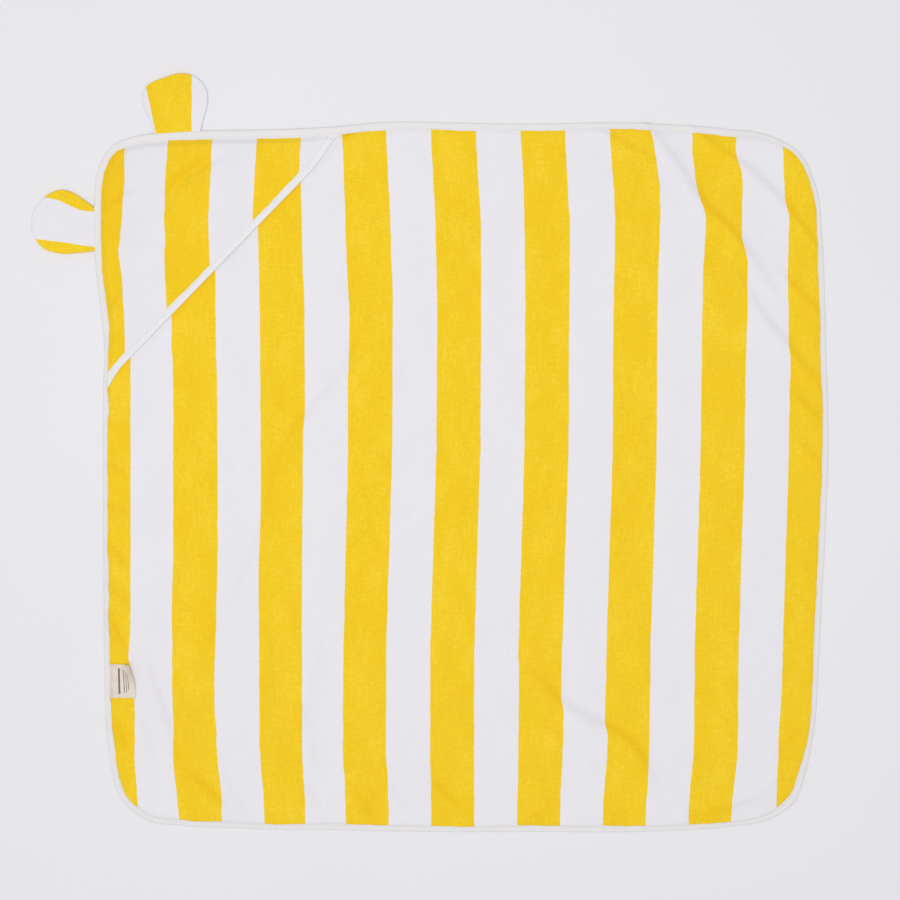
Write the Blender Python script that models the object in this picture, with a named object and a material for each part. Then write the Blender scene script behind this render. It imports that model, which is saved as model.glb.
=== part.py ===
"""Hooded baby towel: a square of striped terry with a bound edge, a corner hood, two ears and a label.

The towel lies flat, face up, on the plane z = 0. +Z is up, +Y runs along the stripes towards the top
edge, and the hood sits on the corner at -X, +Y. Units are metres. Shapes are laid out in the towel's own
plan, and the parent empty then moves the whole so that its box is centred on the origin.
"""

from math import atan2, ceil, radians

import bmesh
import bpy
import numpy as np
from mathutils import Vector

# Driving dimensions ------------------------------------------------------------------------------

# Outline of the bound edge as the towel lies, clockwise from the middle of the left side.
OUTLINE = [
    (-0.407, -0.141), (-0.408, 0.000), (-0.410, 0.140), (-0.417, 0.230), (-0.418, 0.310),
    (-0.413, 0.353), (-0.399, 0.375), (-0.373, 0.386), (-0.330, 0.390), (-0.173, 0.396),
    (-0.060, 0.402), (0.180, 0.403), (0.300, 0.395), (0.350, 0.387), (0.383, 0.368),
    (0.402, 0.330), (0.410, 0.270), (0.416, 0.100), (0.411, -0.090), (0.402, -0.277),
    (0.391, -0.340), (0.378, -0.369), (0.352, -0.388), (0.300, -0.399), (0.080, -0.404),
    (-0.180, -0.402), (-0.310, -0.398), (-0.355, -0.391), (-0.385, -0.369), (-0.400, -0.330),
    (-0.406, -0.260),
]
TERRY = 0.0030  # thickness of the towel and hood cloth
PRESSED = 0.0014  # the same cloth where the binding grips it
PRESSED_RUN = 0.0020  # over which it comes back to its full thickness
TAPE = 0.0006  # thickness of the binding tape
TAPE_WIDTH = 0.0090  # what shows of the tape on each face
TAPE_ROUND = 0.0012  # roundness of the tape's folds
TAPE_INNER_SIDE = 0.0018  # from the tape's inner side to its line of stitching
THREAD_RADIUS = 0.00025
GAP = 0.0003  # between pieces that touch

# Hood: the free edge runs straight between two points of the outline.
FREE_EDGE_LEFT = (-0.409, 0.101)
FREE_EDGE_TOP = (-0.120, 0.399)
HOOD_LOFT = 0.0055  # how far the slack hood stands off the towel
LOFT_RUN = 0.070  # distance from a seam over which it rises
HOOD_TIP = 0.037  # the hood cloth starts this far along the seam from each end of the free edge
HOOD_ROWS = 7  # points across the hood between its edges
HOOD_RAMP = 0.020  # along the edge binding, from its plain height to its height over the hood
FREE_TAPE_SPACE = 0.0030  # from the edge binding to each end of the free edge's binding
FREE_THREAD_SPACE = 0.0060  # and to each end of its stitching

# Ears: two layers each, laid out from the middle of the root: along the seam, then outwards.
EAR_LAYER = 0.0023
EAR_SEAM_SPACE = 0.0009  # between the layers, where the seam thread lies
EAR_CLEARANCE = 0.0006  # from the binding to the ear's root
EAR_SEAM_INSET = 0.0050
EAR_SEAM_START = 0.0010  # from the root to each end of the seam thread
EAR_ROUND = 0.0006  # roundness of each layer's rim
EAR_MIDDLE = (0, 0.034)
EAR_TOP_ROOT = (-0.324, 0.391)
EAR_TOP_SHAPE = [
    (-0.026, 0.000), (-0.029, 0.013), (-0.038, 0.030), (-0.039, 0.047), (-0.026, 0.062), (0.001, 0.069),
    (0.023, 0.062), (0.034, 0.045), (0.034, 0.028), (0.029, 0.013), (0.026, 0.000),
]
EAR_LEFT_ROOT = (-0.418, 0.280)
EAR_LEFT_SHAPE = [
    (-0.024, 0.000), (-0.027, 0.016), (-0.027, 0.039), (-0.019, 0.057), (0.000, 0.070), (0.023, 0.068),
    (0.041, 0.053), (0.048, 0.036), (0.044, 0.022), (0.034, 0.010), (0.024, 0.000),
]

# Label: a loop of narrow tape caught in the binding of the left side.
LABEL_PLY = 0.00045
LABEL_INNER_SPACE = 0.0006
LABEL_LENGTH = 0.0255
LABEL_SIDE_X = -0.406
LABEL_LOW_Y, LABEL_HIGH_Y = -0.2515, -0.2135

# Colours, linear RGB.
YELLOW = (0.87, 0.60, 0.03)
WHITE = (0.80, 0.79, 0.81)
CREAM = (0.75, 0.68, 0.61)

# Heights worked out from the above.
RIM_LOW = TAPE + GAP
RIM_HIGH = RIM_LOW + PRESSED
HOOD_RIM_LOW = RIM_HIGH + GAP
HOOD_RIM_HIGH = HOOD_RIM_LOW + PRESSED
PLAIN_HEIGHT = RIM_HIGH + GAP + TAPE  # of the binding round the towel alone
HOOD_HEIGHT = HOOD_RIM_HIGH + GAP + TAPE  # of the binding round towel and hood
HOOD_UNDERSIDE = TERRY + GAP
RIM_INSET = TAPE_ROUND + GAP / 2  # the cloth's cut edge, from the fold of the tape
GRIP_INSET = TAPE_WIDTH + GAP  # where the cloth leaves the binding
FIELD_INSET = GRIP_INSET + PRESSED_RUN  # where it has its full thickness again
STITCH_INSET = TAPE_WIDTH - TAPE_INNER_SIDE


# Curves ------------------------------------------------------------------------------------------


class SmoothLoop:
    """A closed smooth curve through points, read by distance along it."""

    FINE_STEPS = 40
    TANGENT_REACH = 0.002
    TURN_PER_STATION = radians(8)
    LONGEST_STEP = 0.032
    SHORTEST_STEP = 0.004

    def __init__(self, points):
        points = np.array(points)
        ahead = np.roll(points, -1, axis=0)
        reach = np.linalg.norm(ahead - points, axis=1)[:, None]
        slope = (ahead - points) / reach
        back, back_reach = np.roll(slope, 1, axis=0), np.roll(reach, 1, axis=0)
        tangent = (slope * back_reach + back * reach) / (reach + back_reach)
        after = np.roll(tangent, -1, axis=0)
        t = (np.arange(self.FINE_STEPS) / self.FINE_STEPS)[None, :, None]
        fine = (
            (2 * t**3 - 3 * t**2 + 1) * points[:, None]
            + (t**3 - 2 * t**2 + t) * (reach * tangent)[:, None]
            + (3 * t**2 - 2 * t**3) * ahead[:, None]
            + (t**3 - t**2) * (reach * after)[:, None]
        ).reshape(-1, 2)
        self.fine = np.vstack([fine, fine[:1]])
        steps = np.linalg.norm(np.diff(self.fine, axis=0), axis=1)
        self.along = np.concatenate([[0.0], np.cumsum(steps)])
        self.length = self.along[-1]
        self.control_along = self.along[:: self.FINE_STEPS]

    def point(self, s):
        s = s % self.length
        return np.array([np.interp(s, self.along, self.fine[:, k]) for k in (0, 1)])

    def tangent(self, s):
        step = self.point(s + self.TANGENT_REACH) - self.point(s - self.TANGENT_REACH)
        return step / np.linalg.norm(step)

    def inset(self, s, distance):
        """The point at a distance inside the curve."""
        along_x, along_y = self.tangent(s)
        return self.point(s) + distance * np.array([along_y, -along_x])

    def nearest(self, place):
        """Distance along the curve of the point nearest to a place."""
        return self.along[np.argmin(np.linalg.norm(self.fine - np.array(place), axis=1))]

    def stations(self, extra=()):
        """Distances along the curve, closer together where it turns, and at the extra ones."""
        found = list(extra)
        for low, high in zip(self.control_along, self.control_along[1:]):
            turn = np.arccos(np.clip(self.tangent(low) @ self.tangent(high), -1, 1))
            count = max(1, ceil(turn / self.TURN_PER_STATION), ceil((high - low) / self.LONGEST_STEP))
            found += [low + (high - low) * k / count for k in range(count)]
        return [
            s for s in sorted(found)
            if s in extra or all(abs(s - e) > self.SHORTEST_STEP for e in extra)
        ]


def smoothstep(t):
    t = min(max(t, 0.0), 1.0)
    return t * t * (3 - 2 * t)


# Objects -----------------------------------------------------------------------------------------


def clear_scene():
    for item in list(bpy.data.objects):
        bpy.data.objects.remove(item, do_unlink=True)


def cloth_material(name, colour, roughness):
    material = bpy.data.materials.new(name)
    material.use_nodes = True
    shader = material.node_tree.nodes["Principled BSDF"]
    shader.inputs["Base Color"].default_value = (*colour, 1.0)
    shader.inputs["Roughness"].default_value = roughness
    shader.inputs["Metallic"].default_value = 0.0
    return material


def add_object(name, data, material, parent):
    item = bpy.data.objects.new(name, data)
    data.materials.append(material)
    item.parent = parent
    bpy.data.collections["hooded_towel"].objects.link(item)
    return item


def loft(name, sections, material, parent, ring=False):
    """A closed body through sections of equally many points. A ring joins the last to the first."""
    mesh = bmesh.new()
    loops = [[mesh.verts.new(Vector(point)) for point in section] for section in sections]
    pairs = list(zip(loops, loops[1:]))
    if ring:
        pairs.append((loops[-1], loops[0]))
    else:
        mesh.faces.new(reversed(loops[0]))
        mesh.faces.new(loops[-1])
    for here, there in pairs:
        for k, vertex in enumerate(here):
            following = (k + 1) % len(here)
            mesh.faces.new((vertex, here[following], there[following], there[k]))
    bmesh.ops.recalc_face_normals(mesh, faces=mesh.faces)
    data = bpy.data.meshes.new(name)
    mesh.to_mesh(data)
    mesh.free()
    add_object(name, data, material, parent)


def thread(name, points, material, parent, cyclic=False):
    """A sewing thread through points, as a thin tube."""
    data = bpy.data.curves.new(name, "CURVE")
    data.dimensions = "3D"
    data.bevel_depth = THREAD_RADIUS
    data.bevel_resolution = 1
    data.use_fill_caps = not cyclic
    spline = data.splines.new("POLY")
    spline.points.add(len(points) - 1)
    for target, point in zip(spline.points, points):
        target.co = (*point, 1.0)
    spline.use_cyclic_u = cyclic
    add_object(name, data, material, parent)


# Towel and binding -------------------------------------------------------------------------------


def tape_profile(height):
    """Section of a folded tape as (distance inside the fold, height): outer face, then inner face."""
    soft = 0.3 * TAPE_ROUND
    low = [(TAPE_WIDTH, 0), (TAPE_ROUND, 0), (soft, soft), (0, TAPE_ROUND)]
    inner = [(TAPE, TAPE_ROUND), (TAPE_ROUND, TAPE), (TAPE_WIDTH, TAPE)]
    outer_face = low + [(x, height - z) for x, z in reversed(low)]
    inner_face = [(x, height - z) for x, z in reversed(inner)] + inner
    return outer_face + inner_face


def binding_height(s, hood_from, hood_to):
    """Height of the edge binding, which is thicker where it also grips the hood."""
    inside = min(s - hood_from, hood_to - s) + HOOD_RAMP
    return PLAIN_HEIGHT + (HOOD_HEIGHT - PLAIN_HEIGHT) * smoothstep(inside / HOOD_RAMP)


def towel_panel(outline, stations, material, parent):
    levels = [
        (FIELD_INSET, 0.0), (GRIP_INSET, RIM_LOW), (RIM_INSET, RIM_LOW),
        (RIM_INSET, RIM_HIGH), (GRIP_INSET, RIM_HIGH), (FIELD_INSET, TERRY),
    ]
    sections = [[(*outline.inset(s, inset), z) for s in stations] for inset, z in levels]
    loft("towel_panel", sections, material, parent)


def perimeter_binding(outline, stations, hood_span, material, parent):
    sections = [
        [(*outline.inset(s, x), z) for x, z in tape_profile(binding_height(s, *hood_span))]
        for s in stations
    ]
    loft("perimeter_binding", sections, material, parent, ring=True)


def perimeter_stitching(outline, stations, hood_span, material, parent):
    rise = GAP + THREAD_RADIUS
    points = [
        (*outline.inset(s, STITCH_INSET), binding_height(s, *hood_span) + rise) for s in stations
    ]
    thread("perimeter_stitching", points, material, parent, cyclic=True)


# Hood --------------------------------------------------------------------------------------------


def hood_loft(place):
    """Height of the hood's underside over its seamed level, at a place in the plan."""
    corner = np.array([FREE_EDGE_LEFT[0], FREE_EDGE_TOP[1]])
    from_left, from_top = place[0] - corner[0], corner[1] - place[1]
    return HOOD_LOFT * smoothstep(from_left / LOFT_RUN) * smoothstep(from_top / LOFT_RUN)


class FreeEdge:
    """The straight free edge of the hood, with the places on it that face stations of the seam."""

    def __init__(self, outline, stations):
        self.start, end = np.array(FREE_EDGE_LEFT), np.array(FREE_EDGE_TOP)
        self.length = np.linalg.norm(end - self.start)
        self.along = (end - self.start) / self.length
        self.towards_corner = np.array([-self.along[1], self.along[0]])
        low, high = outline.nearest(FREE_EDGE_LEFT), outline.nearest(FREE_EDGE_TOP)
        self.places = [self.length * (s - low) / (high - low) for s in stations]

    def point(self, distance, inset=0.0):
        return self.start + self.along * distance + self.towards_corner * inset

    def row(self, inset, rise, clear):
        """Points at an inset, from one edge binding to the other, with both ends clear of them."""
        base = self.point(0.0, inset)
        first = (FREE_EDGE_LEFT[0] + clear - base[0]) / self.along[0]
        last = (FREE_EDGE_TOP[1] - clear - base[1]) / self.along[1]
        distances = [first, *self.places, last]
        return [
            (*self.point(d, inset), HOOD_UNDERSIDE + rise + hood_loft(self.point(d)))
            for d in distances
        ]


def hood_panel(outline, stations, edge, material, parent):
    sections = []
    for s, place in zip(stations, edge.places):
        seam = [outline.inset(s, inset) for inset in (RIM_INSET, GRIP_INSET, FIELD_INSET)]
        free = [edge.point(place, inset) for inset in (FIELD_INSET, GRIP_INSET, RIM_INSET)]
        middle = [
            seam[-1] + (free[0] - seam[-1]) * k / (HOOD_ROWS + 1) for k in range(1, HOOD_ROWS + 1)
        ]
        free_loft = hood_loft(edge.point(place))
        full = [(HOOD_UNDERSIDE + hood_loft(p), TERRY) for p in [seam[-1], *middle]]
        full.append((HOOD_UNDERSIDE + free_loft, TERRY))
        rims = [(HOOD_UNDERSIDE + RIM_LOW + free_loft, PRESSED)] * 2
        heights = [(HOOD_RIM_LOW, PRESSED)] * 2 + full + rims
        places = seam + middle + free
        under = [(*p, low) for p, (low, _) in zip(places, heights)]
        over = [(*p, low + thick) for p, (low, thick) in zip(places, heights)]
        sections.append(under + over[::-1])
    loft("hood_panel", sections, material, parent)


def hood_edge_binding(edge, material, parent):
    rows = [edge.row(x, z, TAPE_WIDTH + FREE_TAPE_SPACE) for x, z in tape_profile(PLAIN_HEIGHT)]
    loft("hood_edge_binding", list(zip(*rows)), material, parent)


def hood_edge_stitching(edge, material, parent):
    rise = PLAIN_HEIGHT + GAP + THREAD_RADIUS
    points = edge.row(STITCH_INSET, rise, TAPE_WIDTH + FREE_THREAD_SPACE)
    thread("hood_edge_stitching", points, material, parent)


# Ears --------------------------------------------------------------------------------------------


def ear_spline(data, shape, inset=0.0):
    """The ear's outline as a Bezier spline, drawn in by an inset, with corners at the root."""
    middle = Vector(EAR_MIDDLE)
    spline = data.splines.new("BEZIER")
    spline.bezier_points.add(len(shape) - 1)
    spline.resolution_u = 6
    for k, (target, place) in enumerate(zip(spline.bezier_points, shape)):
        outward = Vector(place) - middle
        at_root = k in (0, len(shape) - 1)
        pulled = Vector(place) - outward.normalized() * inset
        if at_root:
            pulled = Vector((place[0] * (1 - inset / abs(place[0])), place[1]))
        target.co = (*pulled, 0.0)
        target.handle_left_type = target.handle_right_type = "VECTOR" if at_root else "AUTO"
    return spline


def ear_layer(name, shape, low, material, hinge):
    data = bpy.data.curves.new(name, "CURVE")
    data.dimensions = "2D"
    data.fill_mode = "BOTH"
    data.extrude = EAR_LAYER / 2 - EAR_ROUND
    data.bevel_depth = EAR_ROUND
    data.bevel_resolution = 0
    data.offset = -EAR_ROUND
    ear_spline(data, shape).use_cyclic_u = True
    add_object(name, data, material, hinge).location = (0, 0, low + EAR_LAYER / 2)


def ear_seam(name, shape, height, material, hinge):
    data = bpy.data.curves.new(name, "CURVE")
    data.dimensions = "3D"
    data.bevel_depth = THREAD_RADIUS / 2
    data.bevel_resolution = 0
    data.use_fill_caps = True
    ear_spline(data, shape, EAR_SEAM_INSET).resolution_u = 4
    add_object(name, data, material, hinge).location = (0, EAR_SEAM_START, height)


def ear(side, outline, root, shape, cloth, sewing, parent):
    """Two layers and their seam, on a hinge at the ear's root, level with its top."""
    height = 2 * EAR_LAYER + EAR_SEAM_SPACE
    along_x, along_y = outline.tangent(outline.nearest(root))
    hinge = bpy.data.objects.new(f"ear_{side}_hinge", None)
    hinge.location = (*outline.inset(outline.nearest(root), -EAR_CLEARANCE), height)
    hinge.rotation_euler = (0, 0, atan2(along_y, along_x))
    hinge.parent = parent
    bpy.data.collections["hooded_towel"].objects.link(hinge)
    ear_layer(f"ear_{side}_back", shape, -height, cloth, hinge)
    ear_layer(f"ear_{side}_front", shape, -EAR_LAYER, cloth, hinge)
    ear_seam(f"ear_{side}_seam", shape, -height / 2, sewing, hinge)


# Label -------------------------------------------------------------------------------------------


def label(outline, material, parent):
    """A folded tape, open towards the binding, on a hinge where the binding grips it."""
    height = 2 * LABEL_PLY + LABEL_INNER_SPACE
    low = outline.inset(outline.nearest((LABEL_SIDE_X, LABEL_LOW_Y)), TAPE_WIDTH + GAP)
    high = outline.inset(outline.nearest((LABEL_SIDE_X, LABEL_HIGH_Y)), TAPE_WIDTH + GAP)
    hinge = bpy.data.objects.new("label_hinge", None)
    hinge.location = (max(low[0], high[0]), (low[1] + high[1]) / 2, TERRY + GAP + height)
    hinge.parent = parent
    bpy.data.collections["hooded_towel"].objects.link(hinge)
    inside = LABEL_LENGTH - LABEL_PLY
    outer = [(0, -height), (inside, -height), (LABEL_LENGTH, LABEL_PLY - height),
             (LABEL_LENGTH, -LABEL_PLY), (inside, 0), (0, 0)]
    inner = [(0, -LABEL_PLY), (inside, -LABEL_PLY), (inside, LABEL_PLY - height), (0, LABEL_PLY - height)]
    half = (LABEL_HIGH_Y - LABEL_LOW_Y) / 2
    sections = [[(x, y, z) for x, z in outer + inner] for y in (-half, half)]
    loft("label", sections, material, hinge)


# Assembly ----------------------------------------------------------------------------------------


def centre_on_origin(root):
    """Move the root so that the box of everything is centred on the origin in the plan."""
    bpy.context.view_layer.update()
    depsgraph = bpy.context.evaluated_depsgraph_get()
    corners = []
    for item in bpy.data.collections["hooded_towel"].objects:
        if item.type in {"MESH", "CURVE"}:
            evaluated = item.evaluated_get(depsgraph)
            mesh = evaluated.to_mesh()
            corners += [item.matrix_world @ vertex.co for vertex in mesh.vertices]
            evaluated.to_mesh_clear()
    for axis in (0, 1):
        values = [corner[axis] for corner in corners]
        root.location[axis] = -(min(values) + max(values)) / 2


def build():
    clear_scene()
    collection = bpy.data.collections.new("hooded_towel")
    bpy.context.scene.collection.children.link(collection)
    terry = cloth_material("striped_terry", YELLOW, 0.95)
    tape = cloth_material("binding_tape", WHITE, 0.80)
    sewing = cloth_material("sewing_thread", WHITE, 0.60)
    ribbon = cloth_material("label_tape", CREAM, 0.70)

    root = bpy.data.objects.new("hooded_towel_root", None)
    collection.objects.link(root)

    outline = SmoothLoop(OUTLINE)
    hood_span = (outline.nearest(FREE_EDGE_LEFT), outline.nearest(FREE_EDGE_TOP))
    tips = (hood_span[0] + HOOD_TIP, hood_span[1] - HOOD_TIP)
    stations = outline.stations(extra=(*hood_span, *tips))
    towel_panel(outline, stations, terry, root)
    perimeter_binding(outline, stations, hood_span, tape, root)
    perimeter_stitching(outline, stations, hood_span, sewing, root)
    hood_stations = [s for s in stations if tips[0] <= s <= tips[1]]
    edge = FreeEdge(outline, hood_stations)
    hood_panel(outline, hood_stations, edge, terry, root)
    hood_edge_binding(edge, tape, root)
    hood_edge_stitching(edge, sewing, root)
    ear("top", outline, EAR_TOP_ROOT, EAR_TOP_SHAPE, terry, sewing, root)
    ear("left", outline, EAR_LEFT_ROOT, EAR_LEFT_SHAPE, terry, sewing, root)
    label(outline, ribbon, root)
    centre_on_origin(root)


build()
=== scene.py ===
"""Hooded baby towel: the looks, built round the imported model.

The towel lies face up on the plane z = 0, with its stripes along +Y and its hood on the corner at -X, +Y.
Shapes are laid out in the same plan as the CAD's, and SHIFT moves them into the frame.
Lengths are in metres, but long tables and the limits of ramp() are in millimetres.
Every cloth has a UV map in metres of cloth: U runs across the stripes and V along them.
"""

from functools import partialmethod
from math import ceil, cos, pi, radians, sin

import bmesh
import bpy
import numpy as np
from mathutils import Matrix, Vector, kdtree


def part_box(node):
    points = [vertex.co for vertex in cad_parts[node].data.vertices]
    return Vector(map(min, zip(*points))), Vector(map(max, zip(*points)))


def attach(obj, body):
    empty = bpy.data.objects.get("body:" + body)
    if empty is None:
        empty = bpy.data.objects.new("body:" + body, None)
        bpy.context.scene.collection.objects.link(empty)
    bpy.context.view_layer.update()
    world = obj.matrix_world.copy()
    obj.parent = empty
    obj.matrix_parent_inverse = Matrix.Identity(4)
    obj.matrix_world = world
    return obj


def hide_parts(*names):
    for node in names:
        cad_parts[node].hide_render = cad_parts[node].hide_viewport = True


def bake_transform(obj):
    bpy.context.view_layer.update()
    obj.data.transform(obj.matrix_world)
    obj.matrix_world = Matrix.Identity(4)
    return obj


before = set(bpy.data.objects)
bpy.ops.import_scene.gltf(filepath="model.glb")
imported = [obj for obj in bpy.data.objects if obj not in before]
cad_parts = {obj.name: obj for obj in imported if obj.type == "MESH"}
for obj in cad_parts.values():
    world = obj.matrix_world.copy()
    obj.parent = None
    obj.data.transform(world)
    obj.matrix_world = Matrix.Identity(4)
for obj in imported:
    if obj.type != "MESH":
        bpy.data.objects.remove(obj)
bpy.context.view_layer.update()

MM = 0.001

# Plan of the towel ----------

# Outline of the bound edge as the towel lies, clockwise from the middle of the left side, with the small
# waves of a soft edge. In places it runs a few millimetres inside the CAD's.
OUTLINE = [
    (-407, -141), (-408, 0), (-408.2, 70), (-407.2, 110), (-406.2, 135), (-407, 155), (-409.2, 180),
    (-412.5, 205), (-415.5, 232), (-417.5, 260), (-418.5, 285), (-418, 310), (-412, 352), (-398, 374),
    (-372.5, 385), (-330, 390), (-260, 392.5), (-188, 394), (-150, 396), (-83, 402), (-48, 402),
    (-10, 401), (90, 400), (170, 401.3), (235, 399), (300, 394), (350, 386), (382, 367), (401, 329),
    (408.3, 269), (411.3, 200), (413, 130), (415, 70), (415, 10), (412.7, -40), (410.8, -90),
    (408, -133), (405.5, -190), (403, -238), (400.5, -275), (395.5, -307), (388, -341),
    (377.5, -368.8), (352, -388), (300, -398), (241, -402), (206, -403.5), (80, -403.7), (-30, -403.7),
    (-109, -402.5), (-160, -401.5), (-214, -401.5), (-260, -399.3), (-319, -396.5), (-355, -391.5),
    (-385.5, -369), (-399.3, -330), (-403, -300), (-405.5, -255),
]
CAD_PLAN_LOW = np.array([-418.83, -406.04]) * MM  # lowest x and y of the binding in the CAD's plan
CORNERS = {"bl": (-0.385, -0.369), "tl": (-0.404, 0.369), "tr": (0.383, 0.368), "br": (0.378, -0.369)}
FREE_EDGE_LEFT = np.array([-0.409, 0.101])
FREE_EDGE_TOP = np.array([-0.120, 0.399])
EAR_TOP_ROOT = (-0.324, 0.391)
EAR_LEFT_ROOT = (-0.418, 0.280)
LABEL_LOW_Y, LABEL_HIGH_Y = -0.2515, -0.2135

TERRY = 3.0 * MM
PRESSED = 1.4 * MM  # thickness of the terry where tape grips it
TAPE = 0.6 * MM
GAP = 0.3 * MM  # between layers
TAPE_WIDTH = 9.0 * MM
STITCH_INSET = TAPE_WIDTH - 1.8 * MM
RIM_INSET = 1.5 * MM  # how far inside the outline the terry ends
RIM_LOW = TAPE + GAP
RIM_HIGH = RIM_LOW + PRESSED
RIM_GRADE = [3.6, 7.0, 8.6, 10.0, 11.6, 13.6, 16.4]  # how far the outermost rows of terry lie inside its rim
HOOD_RIM_LOW = RIM_HIGH + GAP
PLAIN_HEIGHT = RIM_HIGH + GAP + TAPE
HOOD_HEIGHT = HOOD_RIM_LOW + PRESSED + GAP + TAPE
FREE_EDGE_HEIGHT = 2.6 * MM
FREE_TAPE_WIDTH = 8.3 * MM
HOOD_UNDERSIDE = TERRY + GAP
HOOD_LOFT = 5.5 * MM

STRIPE_PITCH = 100 * MM
YELLOW_SHARE = 0.5
STRIPE_OFFSET = 7.35 * MM  # from the middle of the fifth yellow band to the plan's origin
HOOD_STRIPE_OFFSET = 6.5 * MM


def smoothstep(t):
    """0 up to 0 and 1 from 1, softly at both."""
    t = np.clip(t, 0.0, 1.0)
    return t * t * (3 - 2 * t)


def ramp(value, start, run):
    """0 up to a start and 1 from a run past it, both in mm. A negative run goes the other way."""
    return smoothstep((value / MM - start) / run)


def bell(distance, width):
    """1 at no distance, and softly down to 0 past a width to either side."""
    return np.exp(-((distance / width) ** 2))


def from_table(place, table):
    """The value at a place between the entries of a table from mm to mm."""
    return np.interp(place / MM, list(table), list(table.values())) * MM


def distances(points):
    """Distance along lines of points, from the first point to each."""
    steps = np.linalg.norm(np.diff(points, axis=-2), axis=-1)
    return np.concatenate([np.zeros_like(steps[..., :1]), np.cumsum(steps, axis=-1)], axis=-1)


def on_line(at, along, points):
    """Places at distances along a line of points, given the points' own."""
    return np.stack([np.interp(at, along, points[:, k]) for k in (0, 1)], axis=-1)


def tree_of(points):
    """A search tree of points in the plan."""
    tree = kdtree.KDTree(len(points))
    for k, point in enumerate(points):
        tree.insert((*point, 0.0), k)
    tree.balance()
    return tree


def find_all(tree, places):
    """The number of the nearest point in a tree, and its distance, for each place."""
    found = np.array([tree.find((*place, 0.0))[1:] for place in places.reshape(-1, 2)])
    shape = places.shape[:-1]
    return found[:, 0].astype(int).reshape(shape), found[:, 1].reshape(shape)


class OpenCurve:
    """A smooth curve through points, with free ends."""

    def __init__(self, points):
        self.points = points
        self.knots = distances(points)
        self.slope = np.gradient(points, self.knots, axis=0)

    def between(self, k, t):
        """Points at shares t of the spans from the points numbered k to the next."""
        reach, t = (self.knots[k + 1] - self.knots[k])[:, None], t[:, None]
        leaving = (2 * t**3 - 3 * t**2 + 1) * self.points[k] + (t**3 - 2 * t**2 + t) * reach * self.slope[k]
        end, end_slope = self.points[k + 1], self.slope[k + 1]
        return leaving + (3 * t**2 - 2 * t**3) * end + (t**3 - t**2) * reach * end_slope

    def read(self, share):
        """Points at shares of the curve's length."""
        at = np.asarray(share) * self.knots[-1]
        k = np.clip(np.searchsorted(self.knots, at, side="right") - 1, 0, len(self.points) - 2)
        return self.between(k, (at - self.knots[k]) / (self.knots[k + 1] - self.knots[k]))


FINE_STEPS = 100  # short steps between two points of a loop


class SmoothLoop:
    """A closed smooth curve through points, read by distance along it."""

    def __init__(self, points):
        curve = OpenCurve(np.vstack([points[-1:], points, points[:2]]))
        steps = np.arange(len(points) * FINE_STEPS)
        fine = curve.between(1 + steps // FINE_STEPS, steps % FINE_STEPS / FINE_STEPS)
        self.fine = np.vstack([fine, fine[:1]])
        self.along = distances(self.fine)
        self.length = self.along[-1]
        self.tree = tree_of(self.fine)

    def point(self, s):
        """Points at distances along the curve."""
        return on_line(np.mod(s, self.length), self.along, self.fine)

    def tangent(self, s):
        """Directions of the curve, averaged over a few millimetres."""
        reach = 2 * MM
        step = self.point(np.asarray(s) + reach) - self.point(np.asarray(s) - reach)
        return step / np.linalg.norm(step, axis=-1, keepdims=True)

    def inset(self, s, distance):
        """Points at a distance inside the curve."""
        along = self.tangent(s)
        inward = np.stack([along[..., 1], -along[..., 0]], axis=-1)
        return self.point(s) + np.asarray(distance)[..., None] * inward

    def nearest(self, place):
        """How far along the curve it passes closest to a place."""
        return self.along[np.argmin(np.linalg.norm(self.fine - np.array(place), axis=1))]

    def locate(self, places):
        """How far each place lies inside the curve, and how far along it."""
        number, depth = find_all(self.tree, places)
        return depth, self.along[number]


outline = SmoothLoop(np.array(OUTLINE) * MM)
HOOD_FROM, HOOD_TO = outline.nearest(FREE_EDGE_LEFT), outline.nearest(FREE_EDGE_TOP)
EDGE_RUN = FREE_EDGE_TOP - FREE_EDGE_LEFT
EDGE_LENGTH = np.linalg.norm(EDGE_RUN)
EDGE_ALONG = EDGE_RUN / EDGE_LENGTH
EDGE_INWARD = np.array([-EDGE_ALONG[1], EDGE_ALONG[0]])
SHIFT = np.array(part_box("perimeter_binding")[0])[:2] - CAD_PLAN_LOW

# How much tape shows from above at places of the edge, which turns under more or less: x, y and width.
TAPE_SHOWS = [
    (-407, -141, 5.8), (-408, -27, 5.2), (-408, 80, 6.2), (-407, 104, 4.8), (-406, 135, 4.8),
    (-407, 155, 6), (-408.5, 170, 7.2), (-412.5, 205, 7.2), (-417.5, 257, 7.9), (-418, 310, 8.2),
    (-412, 350, 8.4), (-398, 374, 7.6), (-385, 381, 9), (-365, 386, 9.6), (-330, 390, 9.6),
    (-209, 394, 10.5), (-110, 400, 9.2), (-10, 401, 8.7), (90, 400, 8.2), (193, 401, 7.4),
    (293, 395, 8.6), (350, 386, 6.4), (382, 367, 4.8), (401, 329, 4.5), (406, 300, 4.8),
    (409, 257, 6.1), (411, 200, 6.2), (415, 86, 6.2), (413, -27, 7), (408, -141, 6.7), (402, -254, 6),
    (399, -295, 4.4), (393, -325, 7), (387, -345, 8.4), (372, -374, 8.8), (352, -388, 7),
    (293, -399, 5.2), (193, -403.5, 6.9), (91, -403.7, 7.2), (-8, -403.7, 6.2), (-110, -402.5, 7),
    (-209, -401.5, 6.6), (-311, -397, 6.4), (-385.5, -369, 7.2), (-400, -325, 7.4),
    (-405.5, -255, 6.7),
]
SHOWN_ALONG = [outline.nearest((x * MM, y * MM)) for x, y, width in TAPE_SHOWS]
SHOWN_WIDTH = [width * MM for x, y, width in TAPE_SHOWS]


def tape_width(s):
    """Width of the edge tape as it shows from above."""
    return np.interp(s, SHOWN_ALONG, SHOWN_WIDTH, period=outline.length)


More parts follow.
